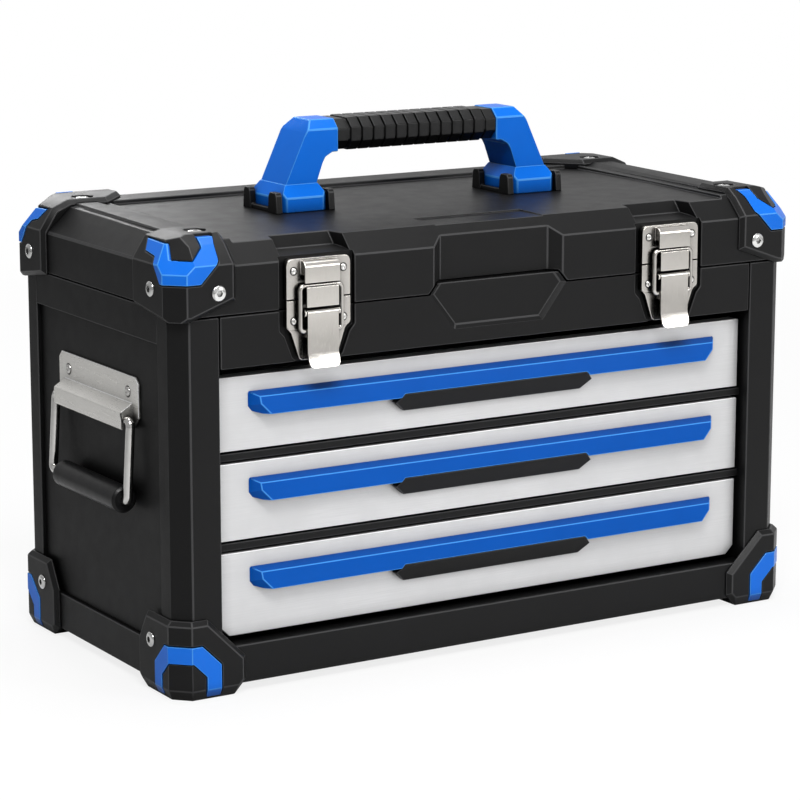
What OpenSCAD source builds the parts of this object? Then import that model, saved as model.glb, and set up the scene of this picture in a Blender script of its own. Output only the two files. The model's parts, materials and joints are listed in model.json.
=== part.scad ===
// Portable tool box: a drawer chest with a lidded top tray, two draw latches,
// a fixed carry handle on the lid, two drop handles and eight corner guards.
// Millimetres, +Z up, front face towards -Y, origin under the middle of the feet.

/* [Body] */
// Width of the body across its side faces
body_w = 460; // [380:5:560]
// Depth of the body from front face to back face
body_d = 217.5; // [180:0.5:265]
// Height of the feet below the base rail
foot_lift = 5.8; // [4:0.1:10]
// Height of the base rail
base_h = 24.1; // [18:0.1:36]
// Height of the front panel above the top drawer
upper_h = 31.8; // [28:0.1:48]
// How far the side and back walls rise above the front panel
side_rise = 4.4; // [2:0.1:8]
// Chamfer on the upright corners
corner_chamfer = 10; // [6:0.5:14]
// Width of a corner post across the front
post_w = 30; // [24:0.5:38]
// Depth of a corner post's front leg
post_t = 20; // [16:0.5:22]
// Length of a corner post along the side
post_d = 23; // [22.5:0.5:30]
// Thickness of a corner post's side leg
post_leg = 8; // [6.5:0.5:12]
// How far the side panels lie behind the posts
panel_recess = 3; // [1:0.1:4]
// Thickness of the side and back panels
panel_t = 2.4; // [1.6:0.1:4]
// Height of the raised band along the top of a side panel
side_band_h = 21.4; // [14:0.1:30]
// Wall of the base rail
base_wall = 14; // [12.5:0.5:20]
// Thickness of the bottom and tray floor sheets
floor_t = 2; // [1.6:0.1:4]
// Thickness of the upper front panel
upper_t = 7; // [6:0.1:8]
// Depth of the sunk badge field on the front
badge_depth = 2; // [1:0.1:3]

/* [Drawers] */
// Front heights, bottom drawer first
drawer_h = [52.4, 48.1, 45.9];
// Gap below the bottom drawer front
drawer_gap_low = 4.1; // [2:0.1:8]
// Gap between two drawer fronts
drawer_gap = 7.9; // [6:0.1:14]
// Gap above the top drawer front
drawer_gap_top = 6.8; // [4:0.1:12]
// How far the drawer fronts lie behind the posts
drawer_recess = 8.4; // [4:0.1:10]
// Gap at each end of a drawer front
drawer_side_gap = 3; // [1.5:0.1:5]
// Depth of a drawer front's folded edge
front_fold = 10; // [8:0.5:12]
// Sheet thickness of the drawer fronts
front_sheet = 1.8; // [1:0.1:3]
// Wall of the drawer trays
tray_wall = 1.6; // [1:0.1:3]
// Gap between a tray and the post beside it
tray_side_gap = 10; // [8:0.5:14]
// Gap behind the trays
tray_back_gap = 8; // [4:0.5:20]
// Height of a drawer's sliding rail
rail_h = 10; // [6:0.5:14]
// Height of a sliding rail's centre above the drawer's lower edge
rail_z = 14; // [10:0.5:20]
// Length of a drawer pull
pull_l = 353; // [240:1:353]
// Height of a drawer pull
pull_h = 14.2; // [10:0.1:18]
// How far a drawer pull stands out
pull_out = 8.2; // [5:0.1:10]
// Distance of a pull below its drawer's upper edge
pull_drop = 10; // [6:0.1:14]
// Length of the insert below each pull
insert_l = 149; // [80:1:180]
// Height of the insert below each pull
insert_h = 9.5; // [5:0.1:12]

/* [Lid] */
// Height of the lid's crown above the front seam
lid_h = 43.4; // [38:0.1:60]
// Height of the upright part of the lid's front
lid_face_h = 29.6; // [28:0.1:34]
// Depth of the slope on the lid's front edge
lid_slope = 12.2; // [6:0.1:16]
// Width of the slope on the lid's side edges
lid_side_slope = 17; // [10:0.5:24]
// Height of the rim above the lid's crown
rim_h = 2.7; // [1:0.1:4]
// How much lower the rim lies at the front than at the back
rim_fall = 2; // [0:0.1:2.5]
// Height of the ridge along each side rim
ridge_h = 2; // [0.5:0.1:2.2]
// Width of the crown between the side rims
crown_w = 368; // [260:1:370]
// Width of the rear rim
rear_rim = 31; // [16:0.5:40]
// Wall of the lid's front
lid_front_wall = 9; // [8:0.1:12]
// Wall of the lid's other sides
lid_wall = 6; // [5:0.1:8]
// Thickness of the lid's top
lid_top_t = 4.1; // [3:0.1:6]
// Width of the sunk middle of the lid's front
middle_w = 97; // [60:1:120]
// Depth of the sunk middle of the lid's front
middle_depth = 6; // [2:0.1:6]
// Gap between the lid and the body
seam = 0.9; // [0.2:0.1:1.2]

/* [Corner guards] */
// How far the guards stand off the faces
guard_t = 4; // [3:0.1:6]
// Length of a guard along the front
guard_w = 49; // [44:0.5:60]
// Length of a guard along the side
guard_d = 53; // [46:0.5:64]
// Length of a front lid guard along the front
lid_guard_w = 45; // [42:0.5:56]
// Length of a rear lid guard along the back
rear_guard_w = 68; // [50:0.5:68]
// Length of a rear lid guard along the side
rear_guard_d = 46; // [44:0.5:60]
// Chamfer on the guards' edges
guard_chamfer = 3; // [1:0.1:3.5]
// Height of the foot guards
foot_guard_h = 50; // [42:0.5:70]
// How far the lid guards stand above the rim
guard_top_t = 4.2; // [3:0.1:6]
// How far the lid guards hang below the seam
guard_hang = 2; // [0.6:0.1:2.4]
// Depth of the coloured trim in the guards
trim_in = 2; // [1:0.1:2.5]
// How far the trim stands out of the guards
trim_out = 0.3; // [0.1:0.1:0.8]
// Gap around the trim in its seat
trim_gap = 0.6; // [0.3:0.1:0.9]
// Radius of the guards' screw heads
screw_r = 4.8; // [3:0.1:5]
// Height of the guards' screw heads
screw_h = 1.6; // [1:0.1:3]

/* [Carry handle] */
// Distance from one foot's middle to the other's
handle_span = 176; // [140:1:220]
// Height of the handle above the lid's crown
handle_h = 57.5; // [48:0.5:80]
// Length of the grip
grip_l = 121; // [90:1:121]
// Depth of the arms from front to back
arm_d = 33; // [24:0.5:38]
// Height of the grip's section
grip_h = 21; // [18:0.5:26]
// Distance of the handle behind the middle of the lid
handle_back = 4.5; // [0:0.5:8]
// Height of the lugs around the handle's feet
lug_h = 13.5; // [8:0.5:16]
// Thickness of the lugs
lug_t = 4.5; // [3:0.1:6]

/* [Side handles] */
// Length of a side handle's plate
plate_l = 112.8; // [90:0.2:120]
// Height of a side handle's plate
plate_h = 33; // [28:0.5:44]
// Height of the plates' upper edge above the base rail
plate_z = 162; // [90:1:170]
// Sheet thickness of the plates
plate_t = 1.6; // [1:0.1:3]
// Radius of the rivets in the plates
plate_rivet_r = 3.8; // [2:0.1:5]
// Length of the channel that holds a bail
channel_l = 96; // [70:1:100]
// Height of the channel
channel_h = 11.7; // [9:0.1:16]
// How far the channel stands off the plate
channel_out = 8; // [7:0.1:12]
// Radius of the bail's wire
bail_r = 2.9; // [1.6:0.1:3]
// Distance from the bail's axle to its grip's axis
bail_drop = 49.5; // [38:0.5:60]
// Radius of the bail's grip
bail_grip_r = 8.4; // [7:0.1:11]
// Length of the bail's grip
bail_grip_l = 88; // [60:0.5:88]

/* [Latches] */
// Distance of the latches from the middle
latch_x = 132.2; // [100:0.1:150]
// Width of a latch's plates
latch_w = 44.6; // [40:0.2:60]
// Gap around a latch in its sunk field
latch_field_gap = 4; // [2:0.1:6]
// Depth of the latches' field
latch_field_depth = 3; // [1:0.1:3.2]
// How far the latch plates stand off the face
latch_out = 1.6; // [1:0.1:3]
// Height of the keeper plate
keeper_h = 24.6; // [20:0.1:30]
// Height of the lower plate
latch_base_h = 37.2; // [30:0.1:42]
// Height of the lower plate's top edge above the front seam
latch_rise = 5.1; // [2:0.1:8]
// Width of the hood on the keeper
hood_w = 24.4; // [18:0.2:28]
// Height of the hood
hood_h = 13.4; // [10:0.1:18]
// How far the hood stands off the keeper
hood_out = 5.2; // [4.6:0.1:8]
// Radius of the loop's wire
loop_r = 1.5; // [1.2:0.1:2]
// Radius of the lever's pivot pin
pivot_r = 1.3; // [1:0.1:1.6]
// Radius of the lever's barrel
barrel_r = 2.6; // [2.2:0.1:3.4]
// Width of the lever
lever_w = 21.6; // [16:0.2:26]
// Height of the lever's flat face
lever_h = 24; // [20:0.1:32]
// Distance from the lever's pivot to the loop's pivot
lever_arm = 11; // [8:0.1:14]
// Radius of the rivets' heads
rivet_r = 2.7; // [1.8:0.1:3.4]
// Height of the rivets' heads
rivet_h = 1; // [0.5:0.1:2]

/* [Lid hinges] */
// Distance of the hinges from the middle
hinge_x = 130; // [80:1:134]
// Length of a hinge
hinge_l = 60; // [40:1:80]
// Radius of a hinge's barrel
knuckle_r = 3.4; // [2.8:0.1:5]
// Radius of a hinge's pin
hinge_pin_r = 1.6; // [1.2:0.1:2.2]
// Length of a hinge leaf from the pin
leaf_l = 29; // [20:1:36]
// Sheet thickness of the hinge leaves
leaf_t = 2; // [1.4:0.1:3]

/* [Fits] */
// Radial clearance of every pin in its bore
pin_fit = 0.05; // [0.02:0.01:0.1]
// Clearance between parts that pass each other
run_gap = 0.4; // [0.3:0.05:0.6]
// Clearance between a side grip and the panel
grip_gap = 0.3; // [0.2:0.05:0.8]
// Clearance around a drawer's sliding rail
rail_gap = 0.5; // [0.3:0.05:0.8]

/* [Hidden] */
$fn = 48;

// Overshoot of every cutting shape
cut = 1;

// Faces of the body
front_y = -body_d / 2;
back_y = body_d / 2;
side_x = body_w / 2;
open_x = side_x - post_w;

// Heights, from the floor up
base_z0 = foot_lift;
base_z1 = base_z0 + base_h;
drawer_z0 = [for (i = 0, z = base_z1 + drawer_gap_low; i < 3; z = z + drawer_h[i] + drawer_gap, i = i + 1) z];
upper_z0 = drawer_z0[2] + drawer_h[2] + drawer_gap_top;
front_top = upper_z0 + upper_h;
side_top = front_top + side_rise;
lid_z0 = front_top + seam;
lid_side_z0 = side_top + seam;
crown_z = lid_z0 + lid_h;
rim_z = crown_z + rim_h;
rim_front_z = rim_z - rim_fall;
lid_edge_z = lid_z0 + lid_face_h;

// Plan of the body, grown by o on every side
function body_plan(o) = both_sides([
    [side_x + o - corner_chamfer, front_y - o],
    [side_x + o, front_y - o + corner_chamfer],
    [side_x + o, back_y + o - corner_chamfer],
    [side_x + o - corner_chamfer, back_y + o]
]);

// A shape with the mirror image of itself across the middle
function both_sides(p) = concat(p, [for (i = [len(p) - 1 : -1 : 0]) [-p[i][0], p[i][1]]]);

// A clockwise outline whose every edge is moved outwards by g
function grow(p, g) = [
    for (i = [0 : len(p) - 1])
        let (
            b = p[i],
            u = (b - p[(i + len(p) - 1) % len(p)]) / norm(b - p[(i + len(p) - 1) % len(p)]),
            v = (p[(i + 1) % len(p)] - b) / norm(p[(i + 1) % len(p)] - b)
        )
        b + g * [-u[1] - v[1], u[0] + v[0]] / (1 + u * v)
];

// Points of an arc of radius r round (x, y) from one angle to another
function arc(x, y, r, from, to) = [
    for (i = [0 : 4])
        let (a = from + (to - from) * i / 4)
        [x + r * cos(a), y + r * sin(a)]
];

// Extrudes an outline drawn in X and Z along Y, from y0 to y1
module along_y(y0, y1) {
    translate([0, y1, 0])
        rotate([90, 0, 0])
            linear_extrude(y1 - y0)
                children();
}

// Extrudes an outline drawn in Y and Z along X, from x0 to x1
module along_x(x0, x1) {
    translate([x0, 0, 0])
        rotate([90, 0, 90])
            linear_extrude(x1 - x0)
                children();
}

// A block between two corners
module box(a, b) {
    translate(a)
        cube(b - a);
}

// A cylinder along X or Y between two stations
module rod_x(x0, x1, y, z, r) {
    translate([x0, y, z])
        rotate([0, 90, 0])
            cylinder(h = x1 - x0, r = r);
}

module rod_y(y0, y1, x, z, r) {
    translate([x, y0, z])
        rotate([-90, 0, 0])
            cylinder(h = y1 - y0, r = r);
}

// Moves a shape made for the left side to the right side
module on_side(s) {
    mirror([s > 0 ? 1 : 0, 0, 0])
        children();
}

// Moves a shape made for the front left corner to the corner given by signs
module at_corner(sx, sy) {
    mirror([sx > 0 ? 1 : 0, 0, 0])
        mirror([0, sy > 0 ? 1 : 0, 0])
            children();
}

CORNERS = [[-1, -1], [1, -1], [-1, 1], [1, 1]];

// ---------------------------------------------------------------- body

sheet_x = side_x - panel_recess;
band_z0 = side_top - side_band_h;
panel_y = back_y - post_d;
back_recess = 1;

module side_panel() {
    box([-sheet_x, -panel_y, base_z1], [-sheet_x + panel_t, panel_y, side_top]);
    box([-side_x, -panel_y, band_z0], [-sheet_x + panel_t, panel_y, side_top]);
}

module side_panel_left() {
    color("#262626")
        side_panel();
}

module side_panel_right() {
    color("#262626")
        on_side(1)
            side_panel();
}

back_in = back_y - back_recess - panel_t;

module back_panel() {
    color("#262626")
        box([-open_x, back_in, base_z1], [open_x, back_in + panel_t, side_top]);
}

bottom_z = base_z0 + 2.2;

module bottom_panel() {
    color("#262626")
        box(
            [-side_x + base_wall, front_y + base_wall, bottom_z],
            [side_x - base_wall, back_y - base_wall, bottom_z + floor_t]
        );
}

// Depth of the front step where the lid reaches lower
step_y = front_y + lid_front_wall + seam;

module corner_post(sy) {
    intersection() {
        linear_extrude(side_top)
            polygon(body_plan(0));
        union() {
            box([-side_x, front_y, base_z1], [-open_x, front_y + post_t, side_top]);
            box([-side_x, front_y, base_z1], [-side_x + post_leg, front_y + post_d, side_top]);
        }
        if (sy < 0)
            union() {
                box([-side_x - cut, front_y - cut, 0], [0, 0, front_top]);
                box([-side_x - cut, step_y, 0], [0, 0, side_top + cut]);
            }
        else
            box([-side_x - cut, front_y - cut, 0], [0, 0, side_top + cut]);
    }
}

module corner_posts() {
    color("#262626")
        for (c = CORNERS)
            at_corner(c[0], c[1])
                corner_post(c[1]);
}

module base_frame() {
    color("#222222")
        difference() {
            translate([0, 0, base_z0])
                linear_extrude(base_h)
                    polygon(body_plan(0));
            box(
                [-side_x + base_wall, front_y + base_wall, base_z0 - cut],
                [side_x - base_wall, back_y - base_wall, base_z1 + cut]
            );
        }
}

// Outline of a latch's sunk field in X and Z, grown by o
latch_top_z = lid_z0 + latch_rise;
latch_low_z = latch_top_z - latch_base_h;
taper_z = latch_low_z + 21;

function latch_outline(o) = [
    [latch_w / 2 + o, latch_top_z],
    [latch_w / 2 + o, taper_z - o / 2],
    [latch_w / 2 + o - 3.4, taper_z - 3.6 - o / 2],
    [latch_w / 2 + o - 8.9, latch_low_z + 1.5],
    [latch_w / 2 + o - 10.9, latch_low_z]
];

// The tongue on the front panel that reaches up into the lid
tongue_top = 45.3;
tongue_foot = 51.4;
tongue_rise = 7.2;
badge_low = 33.4;
badge_low_z = upper_z0 + 9.2;
badge_edge = 2.6;
badge_side_edge = 3.6;

function badge_outline(k) = both_sides([
    [badge_low - k * badge_side_edge / 2, badge_low_z + k * badge_edge],
    [tongue_foot - k * badge_side_edge, front_top + 0.4],
    [tongue_top - k * badge_side_edge, front_top + tongue_rise + cut]
]);

// A field sunk into the front face, with sloped edges
module sunk_field(depth) {
    outer = badge_outline(0);
    inner = badge_outline(1);
    n = len(outer);
    points = concat(
        [for (p = outer) [p[0], front_y - 0.01, p[1]]],
        [for (p = inner) [p[0], front_y + depth, p[1]]]
    );
    faces = concat(
        [[for (i = [n - 1 : -1 : 0]) i]],
        [[for (i = [0 : n - 1]) n + i]],
        [for (i = [0 : n - 1]) [i, (i + 1) % n, n + (i + 1) % n, n + i]]
    );
    polyhedron(points = points, faces = faces);
}

module upper_front_panel() {
    half = open_x - seam;
    color("#262626")
        difference() {
            along_y(front_y, front_y + upper_t)
                polygon(both_sides([
                    [half, upper_z0],
                    [half, front_top],
                    [tongue_foot, front_top],
                    [tongue_top, front_top + tongue_rise]
                ]));
            sunk_field(badge_depth);
            for (s = [-1, 1])
                translate([s * latch_x, 0, 0])
                    along_y(front_y - cut, front_y + latch_field_depth)
                        polygon(both_sides(latch_outline(latch_field_gap)));
            for (s = [-1, 1])
                box(
                    [s * latch_x - 16, front_y - cut, upper_z0 - cut],
                    [s * latch_x + 16, front_y + latch_field_depth, latch_low_z + 2]
                );
        }
}

floor_x = sheet_x - panel_t;

module compartment_floor() {
    color("#303030")
        translate([0, 0, upper_z0])
            linear_extrude(floor_t)
                union() {
                    translate([-open_x, front_y + upper_t])
                        square([2 * open_x, back_in - front_y - upper_t]);
                    translate([-floor_x, -panel_y])
                        square([2 * floor_x, 2 * panel_y]);
                }
}

bar_y0 = front_y + drawer_recess + 0.4;
bar_y1 = front_y + post_t + 5;
bar_h = drawer_gap - 3;

module drawer_crossbars() {
    color("#222222")
        for (i = [0 : 1])
            translate([0, 0, drawer_z0[i] + drawer_h[i] + 1.5])
                box([-open_x, bar_y0, 0], [open_x, bar_y1, bar_h]);
}

// A drawer's sliding rail runs in a channel between the front and rear posts
tray_x = open_x - tray_side_gap;
rail_x = open_x - 1;
channel_t = 1.5;
runner_y = back_y - post_t;

module runner_section() {
    h = rail_h / 2 + rail_gap;
    difference() {
        translate([tray_x + 3, -h - channel_t])
            square([open_x + 2 - tray_x - 3, 2 * (h + channel_t)]);
        translate([tray_x, -h])
            square([open_x - tray_x, 2 * h]);
    }
}

module case_runners() {
    color("silver")
        for (s = [-1, 1])
            for (i = [0 : 2])
                on_side(-s)
                    translate([0, 0, drawer_z0[i] + rail_z])
                        along_y(-runner_y, runner_y)
                            runner_section();
}

// ---------------------------------------------------------------- drawers

drawer_y = front_y + drawer_recess;
front_x = open_x - drawer_side_gap;
tray_y0 = drawer_y + front_sheet;
tray_y1 = back_in - tray_back_gap;

// Cut-off lower corners of the bottom drawer's front
front_cut = 6;

module front_outline(i, inset) {
    h = drawer_h[i];
    c = i == 0 ? front_cut - 0.59 * inset : 0.01;
    polygon(both_sides([
        [front_x - inset - c, inset],
        [front_x - inset, inset + c],
        [front_x - inset, h - inset]
    ]));
}

module drawer_front(i) {
    translate([0, 0, drawer_z0[i]])
        difference() {
            along_y(drawer_y, drawer_y + front_fold)
                front_outline(i, 0);
            along_y(drawer_y + front_sheet, drawer_y + front_fold + cut)
                front_outline(i, front_sheet);
        }
}

tray_top_gap = 6;

module drawer_tray(i) {
    z0 = drawer_z0[i] + front_sheet;
    z1 = drawer_z0[i] + drawer_h[i] - tray_top_gap;
    difference() {
        box([-tray_x, tray_y0, z0], [tray_x, tray_y1, z1]);
        box(
            [-tray_x + tray_wall, tray_y0 + tray_wall, z0 + tray_wall],
            [tray_x - tray_wall, tray_y1 - tray_wall, z1 + cut]
        );
    }
}

module drawer_rails(i) {
    z = drawer_z0[i] + rail_z;
    for (s = [-1, 1])
        on_side(s)
            box(
                [-rail_x, drawer_y + front_fold + 1.6, z - rail_h / 2],
                [-tray_x, tray_y1 - 2, z + rail_h / 2]
            );
}

// Section of a pull in Y and Z: sloped top, leaning face and a finger groove below
pull_top = 2.6;
pull_lip = 4.3;
groove_h = 6;

module pull_section(grooved) {
    polygon(concat(
        [[0, 0], [-pull_out + 1.7, -pull_top], [-pull_out, -pull_h]],
        grooved
            ? [[-pull_lip, -pull_h], [-pull_lip + 0.6, -pull_h + groove_h], [0, -pull_h + groove_h]]
            : [[-pull_lip, -pull_h], [0, -pull_h + 1.8]]
    ));
}

pull_face_in = 7.2;
pull_corner = [5, 7.6];
insert_rise = 2.4;
insert_chamfer = 3.1;

// Outline of a pull from the front, its ends moved in by d and their lower corners cut off
function pull_outline(d, corner) = both_sides([
    [pull_l / 2 - d - 1.5, cut],
    [pull_l / 2 - d, -1.2],
    [pull_l / 2 - d, -pull_h + corner],
    [pull_l / 2 - d - 0.8 * (corner + cut), -pull_h - cut]
]);

function insert_outline() = both_sides([
    [insert_l / 2 - insert_chamfer - insert_rise, insert_rise],
    [insert_l / 2, -insert_chamfer],
    [insert_l / 2 - 7.5, -insert_h]
]);

module drawer_pull(i) {
    end = pull_l / 2;
    solid_end = 16;
    translate([0, drawer_y, drawer_z0[i] + drawer_h[i] - pull_drop])
        difference() {
            intersection() {
                union() {
                    along_x(-end, -end + solid_end)
                        pull_section(false);
                    along_x(-end + solid_end, end - solid_end)
                        pull_section(true);
                    along_x(end - solid_end, end)
                        pull_section(false);
                }
                hull() {
                    along_y(-0.01, 0)
                        polygon(pull_outline(0, pull_corner[0]));
                    along_y(-pull_out - cut, -pull_out)
                        polygon(pull_outline(pull_face_in, pull_corner[1]));
                }
            }
            translate([0, 0, -pull_h])
                along_y(-pull_out - cut, cut)
                    polygon(insert_outline());
        }
}

module drawer_insert(i) {
    translate([0, drawer_y, drawer_z0[i] + drawer_h[i] - pull_drop - pull_h])
        intersection() {
            along_y(-pull_out, 0)
                polygon(insert_outline());
            along_x(-insert_l / 2 - cut, insert_l / 2 + cut)
                polygon([
                    [0, insert_rise + cut],
                    [-pull_out + 0.5, insert_rise + cut],
                    [-pull_out + 0.9, 0],
                    [-2.6, -insert_h],
                    [0, -insert_h]
                ]);
        }
}

module drawer_1_tray() {
    color("#2b2b2b")
        drawer_tray(2);
}

module drawer_1_front() {
    color("#d8d8d8")
        drawer_front(2);
}

module drawer_1_pull() {
    color("#0a5ac8")
        drawer_pull(2);
}

module drawer_1_insert() {
    color("#1c1c1c")
        drawer_insert(2);
}

module drawer_1_rails() {
    color("silver")
        drawer_rails(2);
}

module drawer_2_tray() {
    color("#2b2b2b")
        drawer_tray(1);
}

module drawer_2_front() {
    color("#d8d8d8")
        drawer_front(1);
}

module drawer_2_pull() {
    color("#0a5ac8")
        drawer_pull(1);
}

module drawer_2_insert() {
    color("#1c1c1c")
        drawer_insert(1);
}

module drawer_2_rails() {
    color("silver")
        drawer_rails(1);
}

module drawer_3_tray() {
    color("#2b2b2b")
        drawer_tray(0);
}

module drawer_3_front() {
    color("#d8d8d8")
        drawer_front(0);
}

module drawer_3_pull() {
    color("#0a5ac8")
        drawer_pull(0);
}

module drawer_3_insert() {
    color("#1c1c1c")
        drawer_insert(0);
}

module drawer_3_rails() {
    color("silver")
        drawer_rails(0);
}

// ---------------------------------------------------------------- lid

bevel_y = front_y + lid_slope;
front_edge_top = lid_edge_z + lid_slope;
crown_y = -16;
rear_rim_y = back_y - rear_rim;
rear_slope = 7.5;

// Section of the lid's outside in Y and Z, at the crown or at a side rim raised by up
module lid_section(rim, up) {
    polygon([
        [front_y, lid_z0],
        [front_y, lid_edge_z],
        [bevel_y, front_edge_top],
        [rim ? bevel_y + rim_front_z - front_edge_top : crown_y, rim ? rim_front_z + up : crown_z],
        [rear_rim_y, rim ? rim_z + up : crown_z],
        [rear_rim_y, rim_z + up],
        [back_y - rear_slope, rim_z + up],
        [back_y, rim_z + up - rear_slope],
        [back_y, lid_side_z0],
        [front_y + lid_front_wall, lid_side_z0],
        [front_y + lid_front_wall, lid_z0]
    ]);
}

side_edge_z = lid_edge_z + 0.8;
groove = 0.7;
crown_x = crown_w / 2;
ridge_in = crown_x + 6;
ridge_out = side_x - lid_side_slope - 2;
ridge_y0 = front_y + 42;
ridge_y1 = back_y - 35;

// The lid's four corners, cut back under the guards' leaning faces by d
lid_skin = guard_t - 1;

module lid_corners(d) {
    intersection_for(c = CORNERS)
        at_corner(c[0], c[1])
            corner_face(-d);
}

// The ridge along the left side rim
module rim_ridge() {
    intersection() {
        along_y(ridge_y0, ridge_y1)
            polygon([
                [-ridge_out - 3, rim_z - 2.5],
                [-ridge_out, rim_z - 0.3],
                [-ridge_out + 2.4, rim_z + ridge_h],
                [-ridge_in - 6, rim_z + ridge_h],
                [-ridge_in, rim_z - 0.3],
                [-ridge_in + 3, rim_z - 2.5]
            ]);
        along_x(-ridge_out, -ridge_in)
            lid_section(true, ridge_h);
    }
}

module lid_outside() {
    intersection() {
        linear_extrude(rim_z + cut)
            polygon(body_plan(0));
        along_y(front_y, back_y)
            polygon(both_sides([
                [side_x, lid_z0],
                [side_x, side_edge_z - groove],
                [side_x - groove, side_edge_z],
                [side_x - lid_side_slope * groove / (rim_z - side_edge_z), side_edge_z + groove],
                [side_x - lid_side_slope, rim_z]
            ]));
        lid_corners(lid_skin);
        union() {
            along_x(-crown_x, crown_x)
                lid_section(false, 0);
            along_x(-side_x, -crown_x)
                lid_section(true, 0);
            along_x(crown_x, side_x)
                lid_section(true, 0);
        }
    }
    rim_ridge();
    on_side(1)
        rim_ridge();
}

module lid_inside() {
    y0 = front_y + lid_front_wall;
    y1 = back_y - lid_wall;
    x1 = side_x - lid_wall - 2;
    top = crown_z - lid_top_t;
    slope = 9;
    intersection() {
        along_x(-side_x, side_x)
            polygon([
                [y0, 0],
                [y0, top - slope],
                [y0 + slope, top],
                [y1 - slope / 2, top],
                [y1, top - slope / 2],
                [y1, 0]
            ]);
        along_y(front_y, back_y)
            polygon(both_sides([[x1, 0], [x1, top - slope - 2], [x1 - slope - 2, top]]));
        lid_corners(lid_skin + lid_wall);
    }
}

// The space inside the lid, less the walls round the two notches
module lid_hollow() {
    difference() {
        lid_inside();
        for (s = [-1, 1])
            translate([s * latch_x, 0, 0])
                notch_boss();
    }
}

// The notch in the slope above a latch, and the field that the latch sits in
lid_field_depth = latch_field_depth + 0.5;
keeper_z0 = latch_top_z + 2 * run_gap;
keeper_z1 = keeper_z0 + keeper_h;
notch_half = 24.4;
notch_back = 21;
notch_deep = 24.6;
notch_wall = 4;
shelf_deep = 19;
shelf_rise = 2;
shelf_z = keeper_z1 + 1.6;

module latch_field() {
    half = latch_w / 2 + latch_field_gap;
    box([-half, front_y - cut, lid_z0 - cut], [half, front_y + lid_field_depth, shelf_z + 0.01]);
    intersection() {
        along_x(-notch_half, notch_half)
            polygon([
                [front_y - cut, shelf_z],
                [front_y + lid_field_depth, shelf_z],
                [front_y + shelf_deep, shelf_z + shelf_rise],
                [front_y + notch_deep, crown_z],
                [front_y + notch_deep, rim_z],
                [front_y - cut, rim_z]
            ]);
        linear_extrude(rim_z)
            polygon(both_sides([
                [notch_half, front_y - 2 * cut],
                [notch_half, front_y + lid_slope],
                [notch_back, front_y + notch_deep]
            ]));
    }
}

// The wall round a notch, which stands into the lid
module notch_boss() {
    half = notch_half + notch_wall;
    box([-half, front_y, shelf_z - notch_wall], [half, front_y + notch_deep + notch_wall, rim_z]);
}

// The sunk middle of the lid's front and the shallow step behind it
module lid_middle() {
    half = middle_w / 2;
    translate([0, 0, lid_z0 - cut])
        linear_extrude(lid_h + 2 * cut)
            polygon(both_sides([
                [half + cut * 4 / 3, front_y - cut],
                [half - middle_depth * 4 / 3, front_y + middle_depth]
            ]));
    top_step = 0.6;
    translate([0, 0, front_edge_top - top_step])
        linear_extrude(lid_h)
            polygon(both_sides([
                [half - middle_depth * 4 / 3, bevel_y - 4],
                [half - middle_depth * 4 / 3, bevel_y + 26]
            ]));
}

module lid_shell() {
    color("#2a2a2a")
        difference() {
            lid_outside();
            lid_hollow();
            lid_middle();
            along_y(front_y - cut, front_y + upper_t + seam)
                polygon(both_sides([
                    [tongue_foot + seam + 0.8, lid_z0 - cut],
                    [tongue_top + seam, front_top + tongue_rise + seam]
                ]));
            for (s = [-1, 1])
                translate([s * latch_x, 0, 0])
                    latch_field();
        }
}

// ---------------------------------------------------------------- corner guards

// Guards are made at the front left corner, from their outer faces inwards
guard_cut = corner_chamfer + 1;
guard_ox = -side_x - guard_t;
guard_oy = front_y - guard_t;
guard_z0 = lid_z0 - guard_hang;
inner_leg = 28;
past = 20;
corner_fold = 28.8;
corner_lean = 0.8;

// The face on a lid corner, upright and then leaning in, moved outwards by o
module corner_face(o) {
    d = guard_cut * sqrt(0.5);
    z = guard_z0 + corner_fold;
    far = body_w + body_d;
    translate([guard_ox, guard_oy, 0])
        rotate([0, 0, 45])
            along_y(-far, far)
                polygon(grow([
                    [d, guard_z0 - past],
                    [d, z],
                    [d + corner_lean * past * 2, z + past * 2],
                    [far, z + past * 2],
                    [far, guard_z0 - past]
                ], o));
}

// Plan of a foot guard, with the corner cut off
foot_plan = [
    [guard_ox + guard_cut, guard_oy],
    [guard_ox, guard_oy + guard_cut],
    [guard_ox, guard_oy + guard_d],
    [guard_ox + inner_leg, guard_oy + guard_d],
    [guard_ox + guard_w, guard_oy + inner_leg],
    [guard_ox + guard_w, guard_oy]
];

// Outlines of a foot guard on the front and on the side, run on past the corner
foot_top_w = 23;
foot_end_z = 24;
slope_run = (guard_w - foot_top_w) / (foot_guard_h - foot_end_z);
foot_front = [
    [-past, -past],
    [-past, foot_guard_h + past],
    [foot_top_w - past * slope_run, foot_guard_h + past],
    [guard_w, foot_end_z],
    [guard_w, 8.6],
    [guard_w - 8, 0],
    [guard_w - 8 - past, -past]
];
side_end_z = foot_guard_h - 18.2;
foot_side = [
    [-past, -past],
    [-past, foot_guard_h + past],
    [guard_d - 11 - past * 0.6, foot_guard_h + past],
    [guard_d, side_end_z],
    [guard_d, 6.4],
    [guard_d - 14, 0],
    [guard_d - 14 - past, -past]
];
foot_bevel_h = 6.5;

// The solid that a foot guard is cut from, grown by o
module foot_block(o) {
    c = guard_chamfer;
    hull() {
        translate([0, 0, foot_bevel_h])
            linear_extrude(foot_guard_h - c - foot_bevel_h)
                polygon(grow(foot_plan, o));
        linear_extrude(foot_guard_h)
            polygon(grow(foot_plan, o - c));
    }
}

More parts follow.
